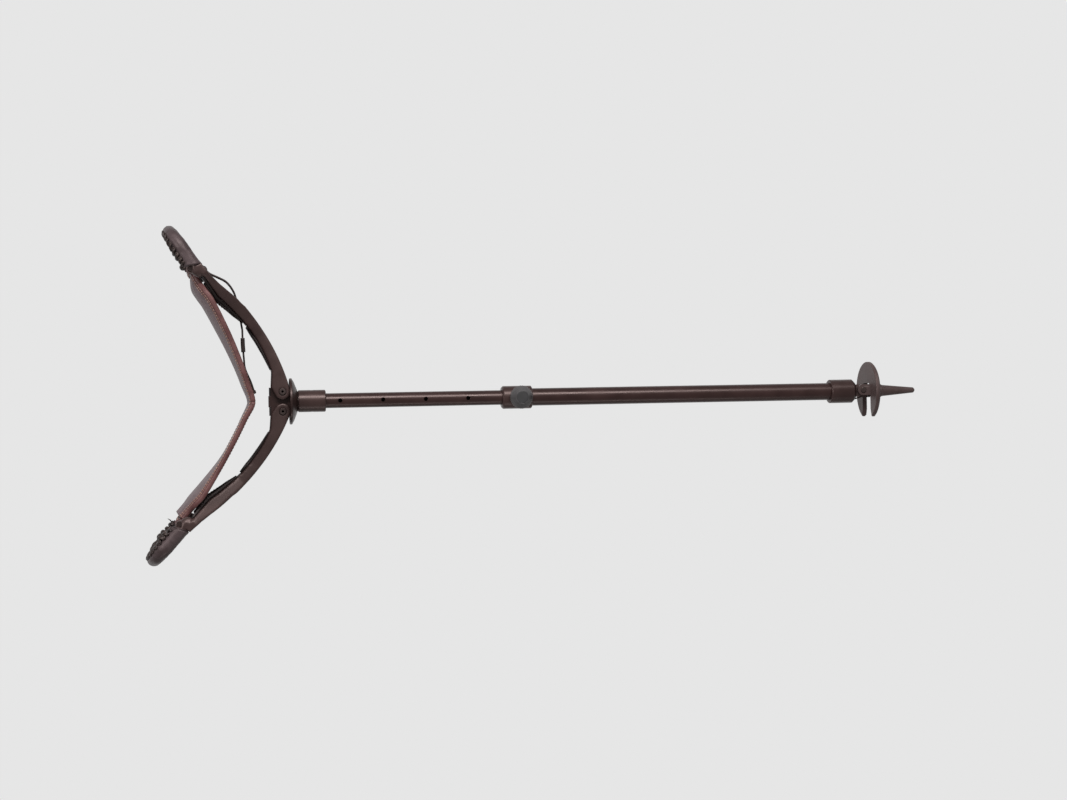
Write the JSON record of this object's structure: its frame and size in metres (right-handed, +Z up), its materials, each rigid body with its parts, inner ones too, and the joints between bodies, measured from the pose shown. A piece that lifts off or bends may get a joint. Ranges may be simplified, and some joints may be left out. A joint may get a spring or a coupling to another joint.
{
  "type": "walking stick seat",
  "caption": "Telescoping walking stick with a ground spike and hinged plate, and folding arms with leather hand loops that open to hold a leather sling seat.",
  "frame": {"origin": "on the stick's axis at the underside of the ground plate, where the stick meets the ground", "axes": "+Z up the stick, +X towards arm A, -Y towards the height lock's knob"},
  "size_m": [0.363, 0.105, 0.8621],
  "materials": {
    "tube_paint": "satin dark brown paint",
    "arm_paint": "satin dark brown paint on a cast alloy arm",
    "fitting_paint": "satin dark brown paint",
    "spike_steel": "dark brown finish, worn at the tip",
    "knob_dark": "dark grey knurled metal",
    "bright_steel": "bright steel",
    "pin_steel": "darkened steel",
    "buffer_rubber": "matte black rubber",
    "liner_nylon": "dark nylon",
    "grip_leather": "dark brown leather",
    "thong_leather": "dark brown leather thong",
    "guard_leather": "black-brown stitched leather",
    "seat_leather": "reddish brown saddle leather with tan stitching",
    "strap_leather": "dark brown leather"
  },
  "bodies": {
    "lower_shaft": {"lower_tube": "tube_paint", "tube_liner": "liner_nylon", "height_clamp": "fitting_paint", "ferrule_socket": "fitting_paint", "spike_neck": "spike_steel", "ground_spike": "spike_steel", "plate_pin": "pin_steel", "plate_spring": "bright_steel"},
    "ground_plate": {"ground_plate": "spike_steel"},
    "upper_shaft": {"inner_tube": "tube_paint", "inner_tube_bush": "liner_nylon", "head_collar": "fitting_paint", "collar_rivet": "pin_steel", "dish_washer": "bright_steel", "head_dish": "fitting_paint", "hinge_lug": "fitting_paint", "pivot_pin_a": "pin_steel", "pivot_pin_b": "pin_steel", "fold_buffer_a": "buffer_rubber", "fold_buffer_b": "buffer_rubber", "seat_leather_a": "seat_leather", "seat_leather_b": "seat_leather"},
    "lock_screw": {"lock_screw": "pin_steel"},
    "lock_knob": {"lock_knob": "knob_dark", "knob_cap": "knob_dark"},
    "arm_a": {"arm_frame_a": "arm_paint", "arm_guard_a": "guard_leather", "grip_leather_a": "grip_leather", "grip_lacing_a": "thong_leather", "sling_rod_a": "pin_steel", "seat_hem_a": "seat_leather", "closing_strap": "strap_leather", "strap_tail": "strap_leather", "strap_keeper": "strap_leather", "strap_stud": "pin_steel"},
    "arm_b": {"arm_frame_b": "arm_paint", "arm_guard_b": "guard_leather", "grip_leather_b": "grip_leather", "grip_lacing_b": "thong_leather", "sling_rod_b": "pin_steel", "seat_hem_b": "seat_leather"}
  },
  "joints": [
    {"name": "plate_fold", "type": "hinge", "parent": "lower_shaft", "child": "ground_plate", "pos_m": [0.0014, 0, 0.0132], "axis": [0, -1, 0], "range_deg": [0, 70]},
    {"name": "height_slide", "type": "slide", "parent": "lower_shaft", "child": "upper_shaft", "axis": [0, 0, 1], "range_m": [-0.1496, 0]},
    {"name": "lock_screw_travel", "type": "slide", "parent": "lower_shaft", "child": "lock_screw", "axis": [0, 1, 0], "range_m": [0, 0.002]},
    {"name": "lock_knob_turn", "type": "hinge", "parent": "lock_screw", "child": "lock_knob", "pos_m": [0, -0.019, 0.4044], "axis": [0, 1, 0], "range_deg": [0, 720]},
    {"name": "arm_a_fold", "type": "hinge", "parent": "upper_shaft", "child": "arm_a", "pos_m": [0.0106, 0, 0.6615], "axis": [0, -1, 0], "range_deg": [0, 55.1], "deforming": ["seat_leather_a", "strap_tail", "strap_keeper"]},
    {"name": "arm_b_fold", "type": "hinge", "parent": "upper_shaft", "child": "arm_b", "pos_m": [-0.0106, 0, 0.6615], "axis": [0, 1, 0], "range_deg": [-7.7, 47.4], "deforming": ["seat_leather_b"]}
  ],
  "couplings": [
    {"joint": "lock_knob_turn", "follows": "lock_screw_travel", "rad_per_m": 6283.2}
  ]
}
